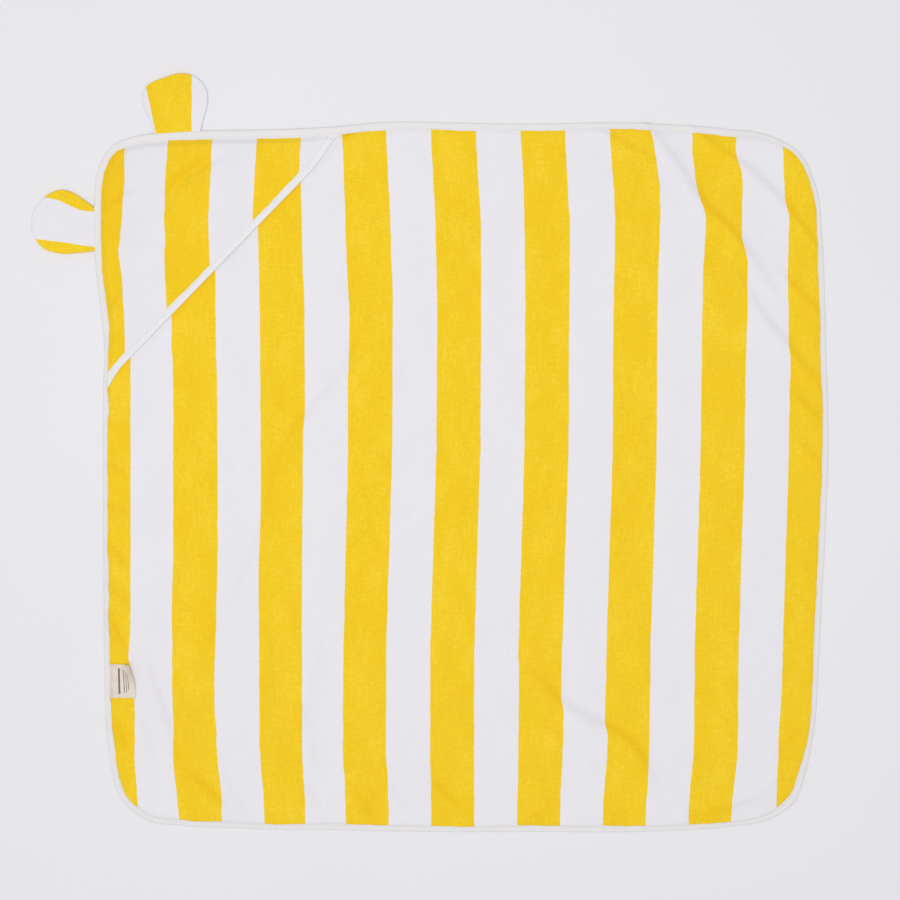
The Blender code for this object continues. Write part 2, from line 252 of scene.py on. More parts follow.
def off_the_tape(depth, s, reach):
    """0 under the edge binding's tape, 1 at a reach inside it."""
    return smoothstep((depth - tape_width(s) + 0.2 * MM) / reach)


# How the cloth lies ----------

FOLD_POINTS = 60
FOLD_SMOOTHING = 19  # points over which a fold's line is rounded
FOLD_REACH = 120 * MM  # past this a fold is not felt
JOG_REACH = 55 * MM
BLUNT = 0.3  # how round a crest is, as a share of the fold's width
DEEP_FOLD = 4 * MM  # a fold of this height has full painted shade along one foot


class Fold:
    """A soft fold along a line: a low ridge, over which the stripes jog sideways."""

    def __init__(self, line, height, width, jog=0.0):
        line = np.array(line) * MM
        along = distances(line)
        share = np.linspace(0, 1, FOLD_POINTS)
        coarse = on_line(share * along[-1], along, line)
        kernel = np.hanning(FOLD_SMOOTHING)
        kernel /= kernel.sum()
        margin = FOLD_SMOOTHING // 2
        padded = np.pad(coarse, ((margin, margin), (0, 0)), mode="reflect", reflect_type="odd")
        self.line = np.stack([np.convolve(padded[:, k], kernel, "valid") for k in (0, 1)], axis=-1)
        self.taper = np.sin(np.pi * share) ** 0.8
        step = np.gradient(self.line, axis=0)
        self.normal = np.stack([-step[:, 1], step[:, 0]], axis=-1) / np.linalg.norm(step, axis=1)[:, None]
        self.height, self.width, self.jog = height * MM, width * MM, jog * MM

    def read(self, places):
        """Ridge height, stripe jog and painted shade along one foot of the fold, at places."""
        flat = places.reshape(-1, 2)
        low, high = self.line.min(axis=0) - FOLD_REACH, self.line.max(axis=0) + FOLD_REACH
        near = ((flat > low) & (flat < high)).all(axis=1)
        found = np.zeros((3, len(flat)))
        found[:, near] = self.read_near(flat[near])
        return found.reshape(3, *places.shape[:-1])

    def read_near(self, places):
        """The same for places within the fold's reach."""
        away = places[:, None] - self.line[None]
        distance = np.linalg.norm(away, axis=2)
        closest = distance.argmin(axis=1)
        rows = np.arange(len(places))
        side = (away[rows, closest] * self.normal[closest]).sum(axis=1)
        reach = distance[rows, closest]
        strength = self.taper[closest]
        crest = np.sqrt((reach / self.width) ** 2 + BLUNT**2) - BLUNT
        ridge = self.height * strength * np.exp(-1.35 * crest)
        jog = self.jog * strength * np.tanh(side / (0.7 * self.width)) * bell(reach, JOG_REACH)
        # painted shade: a band along the fold's foot on one side, where its shade falls
        foot = side * np.sign(self.normal[closest, 1]) - 0.7 * self.width
        sharp = bell(foot, 0.75 * self.width) * bell(reach, 3 * self.width)
        return ridge, jog, abs(self.height) / DEEP_FOLD * strength * sharp


# Each fold's line, and then its height, width and jog.
TOWEL_FOLDS = [Fold(*row) for row in [
    # From the top edge down to the right side, past the upper right corner.
    ([(172, 446), (217, 386), (258, 330), (272, 304), (308, 276), (325, 248), (352, 209),
      (372, 186)], 5.2, 6, 5.0),
    ([(245, 410), (273, 382), (311, 356), (333, 339), (359, 314), (371, 298), (394, 270),
      (415, 240)], 4.6, 5, 2.4),
    ([(300, 244), (325, 205), (344, 174), (364, 151), (376, 136), (402, 103), (416, 84)], 4.2, 5, 1.4),
    ([(348, 244), (368, 221), (400, 188), (414, 172)], 3.0, 5),
    ([(372, 98), (388, 78), (406, 58)], 3.4, 5),
    ([(378, 44), (392, 26), (408, 4)], 2.2, 5),
    ([(146, 402), (158, 388), (188, 373), (211, 361), (232, 344)], 3.0, 5),
    ([(206, 352), (226, 322), (240, 296)], 1.6, 6),
    # Long faint ones.
    ([(-84, 226), (-120, 140), (-142, 100), (-176, 65), (-199, 49), (-214, -20), (-230, -83),
      (-255, -134), (-276, -178), (-306, -238)], 3.4, 7, 1.2),
    ([(-160, -200), (-114, -117), (-26, -59), (30, 20)], 1.3, 12),
    ([(95, 398), (66, 320), (40, 250), (12, 185)], 1.6, 11, 0.8),
    ([(-40, 160), (10, 205), (60, 222)], 1.3, 10),
    ([(160, 60), (182, -30), (172, -120)], 1.5, 12),
    ([(-150, -180), (-168, -232), (-176, -300), (-170, -372)], 2.6, 7, 1.0),
    # Across the bottom.
    ([(58, -206), (88, -236), (117, -264), (150, -282), (180, -293), (199, -314), (212, -342),
      (220, -372)], 5.2, 6, 1.6),
    ([(66, -262), (98, -290), (140, -312)], 1.8, 8),
    ([(-320, -332), (-150, -330), (30, -334), (200, -330), (340, -326)], 0.9, 5),
    ([(-130, -345), (-116, -372), (-96, -402)], 3.6, 5, -1.0),
    ([(-52, -330), (-34, -350), (-14, -370), (8, -396)], 3.8, 5),
    ([(-90, -350), (-76, -366), (-52, -392)], 2.4, 6),
    ([(58, -398), (84, -388), (110, -376)], 2.6, 4),
    ([(222, -340), (246, -366), (262, -398)], 1.8, 7),
    ([(-200, -330), (-176, -360), (-158, -396)], 2.6, 6),
    ([(-326, -328), (-302, -348), (-276, -370), (-262, -396)], 4.2, 6, -1.2),
    ([(-284, -312), (-272, -345), (-250, -392)], 2.4, 6),
    # The lower left corner and the left side.
    ([(-372, -178), (-364, -208), (-349, -248), (-333, -302), (-324, -334)], 4.2, 7, -2.4),
    ([(-372, -250), (-366, -270), (-357, -296), (-349, -340)], 3.0, 4, -1.4),
    ([(-405, -268), (-392, -290), (-380, -318)], 3.6, 5),
    ([(-405, -150), (-396, -176), (-380, -206)], 4.2, 5),
    ([(-408, -118), (-394, -136), (-378, -148)], 3.4, 4),
    ([(-408, -72), (-396, -90), (-378, -114)], 4.0, 5),
    ([(-408, -32), (-394, -38), (-376, -50)], 3.4, 4),
    ([(-408, 14), (-394, 6), (-378, -6)], 2.6, 4),
    ([(-408, 62), (-394, 54), (-378, 48)], 2.2, 5),
    # The lower right corner and the right side.
    ([(236, -394), (280, -385), (312, -377), (340, -366), (364, -346), (380, -316)], 3.4, 5),
    ([(344, -262), (362, -232), (384, -204)], 2.6, 6),
    ([(350, -340), (364, -312), (388, -284)], 2.4, 6),
    ([(368, -70), (384, -104), (398, -140)], 1.6, 6),
]]
HOOD_FOLDS = [Fold(*row) for row in [
    ([(-404, 262), (-385, 258), (-350, 256), (-312, 262)], 1.8, 8, -1.0),
    ([(-338, 292), (-331, 318), (-317, 338), (-293, 354), (-262, 368)], -4.6, 8, 0.8),
    ([(-406, 299), (-396, 304), (-384, 314), (-368, 322)], 3.6, 4),
    ([(-398, 328), (-390, 342), (-376, 360)], 2.6, 6),
    ([(-410, 178), (-396, 190), (-380, 212)], 2.4, 6),
    ([(-300, 225), (-262, 268), (-226, 322)], 1.6, 10),
]]

RIPPLES = [  # radians in a metre across and up, a phase, and a height
    (23, 9, 0.3, 0.30), (-11, 27, 1.9, 0.25), (41, -22, 4.0, 0.16), (17, 49, 2.7, 0.14),
    (-63, 38, 0.9, 0.09),
]


def ripple(places):
    """The slight unevenness of cloth smoothed out by hand, less along its edges."""
    x, y = places[..., 0], places[..., 1]
    settled = 0.25 + 0.75 * ramp(np.maximum(abs(x), abs(y)), 415, -60)
    return MM * settled * sum(size * (1 + np.sin(a * x + b * y + phase)) for a, b, phase, size in RIPPLES)


def read_folds(places, folds):
    """Ridge height, stripe jog and painted shade, at most 1, where many folds lie."""
    ridge, jog, painted_shade = sum(fold.read(places) for fold in folds)
    return ridge, jog, np.clip(painted_shade, 0, 1)


def relief(places):
    """How far the towel's underside is lifted off the floor."""
    return ripple(places) + read_folds(places, TOWEL_FOLDS)[0]


# How far stripes lie off their places, from heights on the towel to shifts along +X.
SWAY = {
    -410: -4.43, -311: -4.43, -198: -4.09, -141: -2.50, -84: -0.68, -27: 1.14, 30: 2.84, 200: 3.86,
    291: 3.18, 336: 0.68, 410: -2.95,
}
FIRST_BAND = {
    -420: 0.2, -370: 0.6, -339: 2.9, -301: 8.3, -270: 8.6, -252: 7.6, -235: 4.6, -207: -1.0, -180: 0.0,
}
SECOND_BAND = {
    -400: 1.5, -370: 0.5, -290: 0.0, -263: -2.8, -235: -2.6, -190: -0.4, -141: 0.3, -100: 2.2, 100: 2.6,
    150: 0.0,
}
LAST_BAND = {-410: 3.0, -373: 2.2, -338: -2.5, -300: -5.0, -250: -1.5, -200: 0.0}
HOOD_SWAY = {100: 4.0, 211: 3.4, 257: 2.1, 291: 0.7, 336: 3.3, 379: 5.5}
HOOD_SIDE = {100: 6.5, 166: 6.1, 222: 3.6, 257: -0.6, 291: 2.6, 336: 6.3, 380: 6.0}
CROWDING = {-280: -1.5, -133: -3.3, 173: 2.2, 225: 1.4, 330: -0.6}  # near the top edge, by x
FLARE_FROM = 30 * MM  # the stripes spread towards the bottom edge from this x


def at_side(x):
    """1 on the yellow band along the left side, 0 to the right of it."""
    return ramp(x, -345, -30)


def stripe_wander(places):
    """How far the towel's stripes lie off their straight and even places."""
    x, y = places[..., 0], places[..., 1]
    left = 2.4 * MM + at_side(x) * (3.2 * MM + from_table(y, FIRST_BAND))
    swaying = left + (from_table(y, SWAY) - left) * ramp(x, -270, 200)
    flare = np.where(x < FLARE_FROM, -0.023, -0.030) * (x - FLARE_FROM) * ramp(y, -300, -90)
    crowding = ramp(y, 170, 120) * from_table(x, CROWDING)
    second_band = from_table(y, SECOND_BAND) * bell(x + 303 * MM, 45 * MM)
    last_band = from_table(y, LAST_BAND) * ramp(x, 300, 60)
    by_corner = -4.2 * MM * ramp(y, 320, 55) * bell(x - 250 * MM, 90 * MM)
    bends = second_band + last_band + by_corner
    return swaying + flare + crowding + bends - read_folds(places, TOWEL_FOLDS)[1]


# Meshes ----------


def put_in_scene(name, data):
    """An object of the scene that holds a mesh, a light or a camera."""
    item = bpy.data.objects.new(name, data)
    bpy.context.scene.collection.objects.link(item)
    return item


def new_mesh(name, points, faces, uv, material, painted_shade=None):
    """A mesh object from points in the plan, faces, and a UV and a depth of painted shade for each point."""
    points = np.array(points, float)
    points[:, :2] += SHIFT
    data = bpy.data.meshes.new(name)
    data.from_pydata(points, [], faces)
    layer = data.uv_layers.new(name="cloth")
    corners = np.zeros(len(data.loops), int)
    data.loops.foreach_get("vertex_index", corners)
    layer.data.foreach_set("uv", np.asarray(uv, np.float32)[corners].ravel())
    shape = bmesh.new()
    shape.from_mesh(data)
    bmesh.ops.recalc_face_normals(shape, faces=shape.faces)
    shape.to_mesh(data)
    shape.free()
    if painted_shade is not None:
        data.attributes.new("painted_shade", "FLOAT", "POINT").data.foreach_set("value", painted_shade.ravel())
    data.shade_smooth()
    data.set_sharp_from_angle(angle=radians(65))
    data.materials.append(material)
    return put_in_scene(name, data)


def grid_quads(index):
    """The quads of a grid of point numbers."""
    corners = [index[:-1, :-1], index[:-1, 1:], index[1:, 1:], index[1:, :-1]]
    return np.stack([part.ravel() for part in corners], axis=1)


def shell(name, over, under, uv, material, painted_shade=None):
    """A closed sheet between an upper and a lower grid of points."""
    index = np.arange(over[..., 0].size).reshape(over.shape[:2])
    count = index.size
    ring = np.concatenate([index[0], index[1:, -1], index[-1, -2::-1], index[-2:0:-1, 0]])
    following = np.roll(ring, -1)
    walls = np.stack([ring + count, following + count, following, ring], axis=1)
    faces = np.vstack([grid_quads(index), grid_quads(index + count)[:, ::-1], walls])
    points = np.vstack([over.reshape(-1, 3), under.reshape(-1, 3)])
    both = np.vstack([uv.reshape(-1, 2)] * 2)
    painted_shade = None if painted_shade is None else np.tile(painted_shade.ravel(), 2)
    return new_mesh(name, points, faces, both, material, painted_shade)


def tube_quads(index):
    """The quads between rows of point numbers, each row closed round."""
    here, there = index[:-1], index[1:]
    quads = [here, np.roll(here, -1, axis=1), np.roll(there, -1, axis=1), there]
    return np.stack(quads, axis=-1).reshape(-1, 4)


def swept(name, sections, uv, material, ring):
    """A closed body swept through sections of points; a ring joins its last section to its first."""
    stations, count = sections.shape[:2]
    index = np.arange(stations * count).reshape(stations, count)
    if ring:
        index = np.vstack([index, index[:1]])
    faces = tube_quads(index)[:, [0, 3, 2, 1]].tolist()
    if not ring:
        faces += [list(index[0]), list(index[-1][::-1])]
    return new_mesh(name, sections.reshape(-1, 3), faces, uv.reshape(-1, 2), material)


# Materials ----------


class Nodes:
    """Shorthand for building a material's node tree."""

    def __init__(self, name, roughness, sheen=0.0, sheen_roughness=0.5, specular=0.5):
        self.material = bpy.data.materials.new(name)
        self.material.use_nodes = True
        self.tree = self.material.node_tree
        self.inputs = self.tree.nodes["Principled BSDF"].inputs
        for key, value in (
            ("Roughness", roughness), ("Specular IOR Level", specular),
            ("Sheen Weight", sheen), ("Sheen Roughness", sheen_roughness),
        ):
            self.inputs[key].default_value = value

    def add(self, kind, inputs=None, **settings):
        node = self.tree.nodes.new(kind)
        for key, value in settings.items():
            setattr(node, key, value)
        for key, value in (inputs or {}).items():
            self.give(value, node.inputs[key])
        return node

    def give(self, value, socket):
        if isinstance(value, bpy.types.NodeSocket):
            self.tree.links.new(value, socket)
        else:
            socket.default_value = value

    def math(self, operation, *values):
        return self.add("ShaderNodeMath", dict(enumerate(values)), operation=operation).outputs[0]

    plus = partialmethod(math, "ADD")
    minus = partialmethod(math, "SUBTRACT")
    times = partialmethod(math, "MULTIPLY")

    def swing(self, value, size):
        """A value between 0 and 1 as a swing to both sides of nothing."""
        return self.times(self.minus(value, 0.5), size)

    def within(self, value, limit):
        """1 where a value lies less than a limit from nothing, 0 elsewhere."""
        return self.math("LESS_THAN", self.math("ABSOLUTE", value), limit)

    def uv(self, across=1.0, along=1.0):
        """Metres of cloth, stretched across or along it."""
        source = self.add("ShaderNodeUVMap", uv_map="cloth").outputs[0]
        inputs = {0: source, 1: (across, along, 1.0)}
        return self.add("ShaderNodeVectorMath", inputs, operation="MULTIPLY").outputs[0]

    def noise(self, vector, scale, detail=2.0, roughness=0.5):
        inputs = {"Vector": vector, "Scale": scale, "Detail": detail, "Roughness": roughness}
        return self.add("ShaderNodeTexNoise", inputs).outputs["Fac"]

    def cells(self, vector, scale):
        """Distance to the middle of the nearest of many cells."""
        inputs = {"Vector": vector, "Scale": scale}
        return self.add("ShaderNodeTexVoronoi", inputs, feature="F1").outputs["Distance"]

    def wave(self, scale, distortion, direction):
        inputs = {"Vector": self.uv(), "Scale": scale, "Distortion": distortion}
        settings = {"wave_type": "BANDS", "wave_profile": "SIN", "bands_direction": direction}
        return self.add("ShaderNodeTexWave", inputs, **settings).outputs["Fac"]

    def span(self, value, low, high, to_low=0.0, to_high=1.0):
        """A value between low and high, mapped to a span of its own and held at its ends."""
        inputs = {0: value, 1: low, 2: high, 3: to_low, 4: to_high}
        return self.add("ShaderNodeMapRange", inputs).outputs[0]

    def mix(self, share, a, b):
        inputs = {"Factor": share, "A": a, "B": b}
        return self.add("ShaderNodeMix", inputs, data_type="RGBA").outputs["Result"]

    def bump(self, height, distance, strength=1.0, after=None):
        inputs = {"Height": height, "Distance": distance, "Strength": strength}
        if after is not None:
            inputs["Normal"] = after
        return self.add("ShaderNodeBump", inputs).outputs[0]

    def finish(self, colour, normal):
        self.give(colour, self.inputs["Base Color"])
        self.give(normal, self.inputs["Normal"])
        return self.material


YELLOW = (0.900, 0.625, 0.020, 1)
YELLOW_DEEP = (0.850, 0.540, 0.010, 1)
YELLOW_PALE = (0.925, 0.690, 0.070, 1)
# painted shade on the yellow stripes
YELLOW_PAINTED_SHADE = (0.860, 0.500, 0.004, 1)
WHITE = (0.812, 0.802, 0.842, 1)
WHITE_DEEP = (0.768, 0.758, 0.798, 1)
# painted shade on the white stripes
WHITE_PAINTED_SHADE = (0.730, 0.718, 0.755, 1)
EDGE_TAPE = ((0.782, 0.770, 0.768, 1), (0.842, 0.831, 0.832, 1))
FREE_EDGE_TAPE = ((0.805, 0.797, 0.812, 1), (0.865, 0.857, 0.873, 1))
THREAD_TONES = ((0.700, 0.690, 0.700, 1), (0.840, 0.835, 0.850, 1))
CREAM_TONES = ((0.700, 0.610, 0.520, 1), (0.800, 0.720, 0.630, 1))
RULE_DARK = (0.055, 0.050, 0.050, 1)
FLOOR_TONES = ((0.790, 0.785, 0.815, 1), (0.815, 0.810, 0.838, 1))


def yellow_share(n, cloth):
    """1 on the yellow stripes and 0 on the white, with an edge that the loops make ragged."""
    jag = n.swing(n.noise(n.uv(across=0.25), 520, detail=1.0), 1.1 * MM)
    slow = n.swing(n.noise(cloth, 45, detail=1.0), 1.6 * MM)
    u = n.add("ShaderNodeSeparateXYZ", {0: cloth}).outputs[0]
    place = n.plus(n.plus(u, jag), slow)
    stripe = n.math("FRACT", n.plus(n.math("DIVIDE", place, STRIPE_PITCH), 100.5))
    off = n.math("ABSOLUTE", n.minus(stripe, 0.5))
    edge = 0.35 * MM / STRIPE_PITCH
    return n.span(off, YELLOW_SHARE / 2 - edge, YELLOW_SHARE / 2 + edge, 1.0, 0.0)


def pile_tone(n, loops, fuzz):
    """How deep the pile looks, from its loops, rows, columns, tufts and brushed patches."""
    brushed = n.noise(n.uv(along=0.45), 34, detail=3.0, roughness=0.6)
    tufts = n.noise(n.uv(along=0.8), 300, detail=1.5)
    rows = n.noise(n.uv(across=0.12), 520, detail=1.0)
    columns = n.noise(n.uv(along=0.10), 420, detail=1.0)
    grain = n.plus(n.times(rows, 0.5), n.times(columns, 0.5))
    deep = n.plus(n.times(loops, 0.8), n.times(fuzz, 0.7))
    cloudy = n.plus(n.span(brushed, 0.3, 0.7, -0.18, 0.18), n.span(tufts, 0.3, 0.7, -0.13, 0.13))
    streaky = n.plus(cloudy, n.span(grain, 0.35, 0.65, -0.14, 0.14))
    return n.plus(n.times(n.span(deep, 0.35, 1.25), 0.45), streaky)


def terry_material():
    """Looped terry in yellow and white stripes, worked from metres of cloth."""
    n = Nodes("striped_terry", roughness=0.95, sheen=0.25, sheen_roughness=0.45, specular=0.15)
    cloth = n.uv()
    loops = n.cells(n.uv(along=0.8), 620)
    fuzz = n.noise(cloth, 900, detail=3.0, roughness=0.65)
    tone = pile_tone(n, loops, fuzz)
    yellow = n.mix(n.span(tone, 0.0, 0.7), YELLOW, YELLOW_DEEP)
    yellow = n.mix(n.span(tone, -0.45, 0.15, 0.9, 0.0), yellow, YELLOW_PALE)
    white = n.mix(n.span(tone, -0.1, 0.8), WHITE, WHITE_DEEP)
    # painted shade from the mesh darkens both colours towards their painted-shade colours
    painted_shade = n.add("ShaderNodeAttribute", attribute_name="painted_shade").outputs["Fac"]
    yellow = n.mix(n.times(painted_shade, 0.55), yellow, YELLOW_PAINTED_SHADE)
    white = n.mix(n.times(painted_shade, 0.42), white, WHITE_PAINTED_SHADE)
    colour = n.mix(yellow_share(n, cloth), white, yellow)
    height = n.plus(n.times(n.minus(1.0, loops), 0.6), n.times(fuzz, 0.6))
    soft = n.bump(n.noise(cloth, 60), 1.0 * MM, 0.25)
    return n.finish(colour, n.bump(height, 0.6 * MM, 0.40, after=soft))


def tape_material(name, low, high):
    """Fine plain-woven tape between two tones: U across it and V along it."""
    n = Nodes(name, roughness=0.85, sheen=0.15, specular=0.25)
    weave = n.times(n.wave(420, 1.2, "X"), n.wave(420, 1.2, "Y"))
    slub = n.noise(n.uv(along=0.2), 300)
    mottle = n.noise(n.uv(), 60, detail=3.0)
    tone = n.plus(n.times(weave, 0.35), n.plus(n.times(slub, 0.35), n.times(mottle, 0.3)))
    colour = n.mix(n.span(tone, 0.15, 0.75), low, high)
    soft = n.bump(mottle, 0.8 * MM, 0.5)
    return n.finish(colour, n.bump(weave, 0.25 * MM, 0.5, after=soft))


def thread_material():
    """Two-ply sewing thread, twisted round its length."""
    n = Nodes("sewing_thread", roughness=0.55, sheen=0.2, specular=0.4)
    twist = n.wave(900, 0.6, "DIAGONAL")
    return n.finish(n.mix(twist, *THREAD_TONES), n.bump(twist, 0.08 * MM, 0.6))


# Middle, half thickness and half length of the rules on the label.
RULES = [(7.0, 1.1, 14.5), (12.6, 0.45, 13.0), (15.2, 0.35, 13.0), (17.8, 0.35, 10.0)]


def label_material():
    """Cream ribbon with plain dark woven rules: U across the rules and V along them."""
    n = Nodes("label_ribbon", roughness=0.6, sheen=0.15, specular=0.35)
    u, v = n.add("ShaderNodeSeparateXYZ", {0: n.uv()}).outputs[:2]
    place = n.plus(u, n.swing(n.noise(n.uv(), 700, detail=1.0), 0.25 * MM))
    rules = 0.0
    for middle, half, reach in RULES:
        rule = n.times(n.within(n.minus(place, middle * MM), half * MM), n.within(v, reach * MM))
        rules = n.math("MAXIMUM", rules, rule)
    cream = n.mix(n.span(n.noise(n.uv(), 120), 0.3, 0.7), *CREAM_TONES)
    colour = n.mix(n.times(rules, 0.85), cream, RULE_DARK)
    return n.finish(colour, n.bump(n.wave(480, 0.3, "Y"), 0.12 * MM, 0.5))


TERRY_CLOTH = terry_material()
TAPE_CLOTH = tape_material("binding_tape", *EDGE_TAPE)
FREE_TAPE_CLOTH = tape_material("free_edge_tape", *FREE_EDGE_TAPE)
THREAD = thread_material()
RIBBON = label_material()

# Towel ----------


def graded(length, step, ends):
    """Shares of a length: given distances from both ends, and even steps between."""
    first, last = ends[-1], length - ends[-1]
    count = ceil((last - first) / step)
    middle = [first + (last - first) * k / count for k in range(1, count)]
    return np.array([0.0, *ends, *middle, *[length - e for e in reversed(ends)], length]) / length


def patch(left, top, right, bottom, u, v):
    """Points inside four sides: left and right run upwards, top and bottom run from left to right."""
    u, v = u[None, :, None], v[:, None, None]
    sides = (1 - v) * bottom[None] + v * top[None] + (1 - u) * left[:, None] + u * right[:, None]
    corners = (1 - v) * ((1 - u) * bottom[0] + u * bottom[-1]) + v * ((1 - u) * top[0] + u * top[-1])
    return sides - corners


def past_free_edge(places):
    """How far places lie beyond the line of the hood's free edge, towards the hood."""
    return (places - FREE_EDGE_LEFT) @ EDGE_INWARD


def towel_plan():
    """Places of the towel's grid: a patch between four sides of its outline."""
    at = {name: outline.nearest(place) for name, place in CORNERS.items()}
    ends = [distance * MM for distance in (*RIM_GRADE, 20.0)]
    across = graded(0.800, 4.1 * MM, ends)
    upward = graded(0.790, 4.1 * MM, ends)

    def side(start, end, shares):
        span = (at[end] - at[start]) % outline.length
        return outline.inset(at[start] + span * shares, RIM_INSET)

    left, top = side("bl", "tl", upward), side("tl", "tr", across)
    right, bottom = side("tr", "br", 1 - upward), side("br", "bl", 1 - across)
    return patch(left, top, right, bottom, across, upward)


def towel():
    """The square of terry, thin where the tape grips it."""
    plan = towel_plan()
    depth, s = outline.locate(plan)
    free = off_the_tape(depth, s, 4.5 * MM)
    into_hood = past_free_edge(plan)
    puff = 0.5 * MM * bell(depth - 17 * MM, 7 * MM) * (1 - ramp(into_hood, -4, 8))  # beside the tape
    lift = relief(plan)
    over = np.dstack([plan, lift + RIM_HIGH + (TERRY - RIM_HIGH) * free + puff])
    under = np.dstack([plan, lift + RIM_LOW * (1 - free)])
    uv = np.dstack([plan[..., 0] - stripe_wander(plan) + STRIPE_OFFSET, plan[..., 1]])
    # painted shade at the folds' feet, and a painted shadow along the hood's free edge where it overhangs
    # the towel
    painted_shade = np.maximum(read_folds(plan, TOWEL_FOLDS)[2], 0.9 * bell(into_hood, 5 * MM))
    return shell("towel_terry", over, under, uv, TERRY_CLOTH, painted_shade)


# Binding and stitches ----------


def along_left(y):
    """How far along the outline its left side passes a height."""
    return outline.nearest((-0.406, y))


def binding_height(s):
    """Height of the edge binding, which is thicker where it also grips the hood or the label."""
    hood_run, label_run = 20 * MM, 5 * MM
    inside = np.minimum(s - HOOD_FROM + hood_run, HOOD_TO - s + hood_run / 2)
    low, high = along_left(LABEL_LOW_Y), along_left(LABEL_HIGH_Y)
    over_label = smoothstep((np.minimum(s - low, high - s) + label_run) / label_run)
    over_hood = (HOOD_HEIGHT - PLAIN_HEIGHT) * smoothstep(inside / hood_run)
    return PLAIN_HEIGHT + over_hood + 1.0 * MM * over_label


NOSE = 1.1 * MM  # from the tape's fold to where it is flat
NOSE_TURN = np.radians([-90, -60, -32, 0, 32, 60, 90])  # from its lower side round to its upper side
TAPE_TOP = [  # the tape's upper face: place across it, rise, and share of the stitches' pull
    (3.0, 0.10, 0.0), (4.6, 0.14, 0.0), (6.2, 0.06, 0.3), (STITCH_INSET / MM, 0.0, 1.0),
    (8.0, 0.08, 0.4), (8.7, 0.0, 0.1),
]
LIP_INSET, HOLLOW_INSET = 8.4 * MM, 3.0 * MM  # ends of the tape's inner faces


def tape_section(height, pull):
    """Section of the folded tape for heights and a pull of the stitches: (..., points, 2)."""
    flat = 0 * height
    rows = [(TAPE_WIDTH, flat), (5.5 * MM, flat)]
    rows += [(NOSE * (1 - cos(a)), height / 2 * (1 + sin(a))) for a in NOSE_TURN]
    rows += [(x * MM, height + rise * MM - sink * pull) for x, rise, sink in TAPE_TOP]
    rows += [(TAPE_WIDTH, height - 0.35 * MM), (LIP_INSET, height - TAPE), (HOLLOW_INSET, height - TAPE)]
    rows += [(1.2 * MM, height / 2), (HOLLOW_INSET, flat + TAPE), (LIP_INSET, flat + TAPE)]
    return np.stack([np.stack([flat + x, z], axis=-1) for x, z in rows], axis=-2)


STITCH = 3.0 * MM
STITCH_COUNT = round(outline.length / STITCH)
STITCH_LENGTH = 0.92 * STITCH
STITCH_LIFT = -0.02 * MM


def stitch_pull(s, pitch):
    """How deep the thread pulls the tape down along its line, deepest at the needle holes."""
    return (0.08 + 0.18 * np.cos(np.pi * s / pitch) ** 2) * MM


def edge_wobble(s):
    """Unevenness of the tape's inner side."""
    return 0.35 * MM * (np.sin(s * 61 + 0.7) + 0.6 * np.sin(s * 143 + 2.1) + 0.4 * np.sin(s * 331))


def tape_reach(x, width):
    """Where a place of the tape's section comes when the tape shows a width of its own."""
    return np.where(x > NOSE, NOSE + (x - NOSE) * (width - NOSE) / (TAPE_WIDTH - NOSE), x)


def perimeter_binding():
    """The tape folded over the towel's whole edge."""
    s = np.linspace(0, outline.length, 3 * STITCH_COUNT, endpoint=False)
    section = tape_section(binding_height(s), stitch_pull(s, outline.length / STITCH_COUNT))
    wobble = edge_wobble(s)[:, None] * (section[..., 0] / TAPE_WIDTH) ** 2
    reach = tape_reach(section[..., 0], tape_width(s)[:, None]) + wobble
    round_edge = s[:, None] + 0 * reach
    places = outline.inset(round_edge, reach)
    points = np.dstack([places, section[..., 1] + relief(places)])
    uv = np.dstack([distances(section), round_edge])
    return swept("perimeter_tape", points, uv, TAPE_CLOTH, ring=True)


THREAD_RADIUS = 0.24 * MM
THREAD_SIDES = 6
# Along one stitch: the station as a share of its length, the share of the radius, and the bow upwards.
STITCH_FORM = np.array([
    (-0.5, 0.35, -0.38), (-0.42, 0.85, -0.16), (-0.2, 1.0, 0.08), (0.0, 1.0, 0.14),
    (0.2, 1.0, 0.08), (0.42, 0.85, -0.16), (0.5, 0.35, -0.38),
])


def stitches(name, centres, directions, tilt):
    """Many separate stitches, each a short bowed thread lying along its direction."""
    angles = np.arange(THREAD_SIDES) * 2 * pi / THREAD_SIDES
    count, stations = len(centres), len(STITCH_FORM)
    up = np.tile([0.0, 0.0, 1.0], (count, 1))
    along = np.column_stack([directions[:, 0], directions[:, 1], tilt])
    sideways = np.cross(up, along)
    sideways /= np.linalg.norm(sideways, axis=1)[:, None]
    grid = np.zeros((count, stations, THREAD_SIDES, 3))
    for k, (station, share, bow) in enumerate(STITCH_FORM):
        middle = centres + along * (station * STITCH_LENGTH) + up * (bow * MM)
        for j, angle in enumerate(angles):
            grid[:, k, j] = middle + THREAD_RADIUS * share * (sideways * cos(angle) + up * sin(angle))
    each = stations * THREAD_SIDES
    base = np.arange(each).reshape(stations, THREAD_SIDES)
    starts = (np.arange(count) * each)[:, None]
    faces = (tube_quads(base)[None] + starts[:, :, None]).reshape(-1, 4).tolist()
    faces += (base[0][::-1][None] + starts).tolist()
    faces += (base[-1][None] + starts).tolist()
    run = np.tile(STITCH_FORM[:, :1] * STITCH_LENGTH, (1, THREAD_SIDES))
    turn = np.tile(angles * THREAD_RADIUS, (stations, 1))
    uv = np.tile(np.dstack([turn, run]).reshape(1, each, 2), (count, 1, 1))
    return new_mesh(name, grid.reshape(-1, 3), faces, uv.reshape(-1, 2), THREAD)


def perimeter_stitches():
    """The stitches that hold the edge tape."""
    pitch = outline.length / STITCH_COUNT
    s = (np.arange(STITCH_COUNT) + 0.5) * pitch
    places = outline.inset(s, tape_reach(STITCH_INSET, tape_width(s)))
    height = binding_height(s) + relief(places) + STITCH_LIFT
    tilt = (np.roll(height, -1) - np.roll(height, 1)) / (2 * pitch)
    return stitches("perimeter_stitches", np.column_stack([places, height]), outline.tangent(s), tilt)
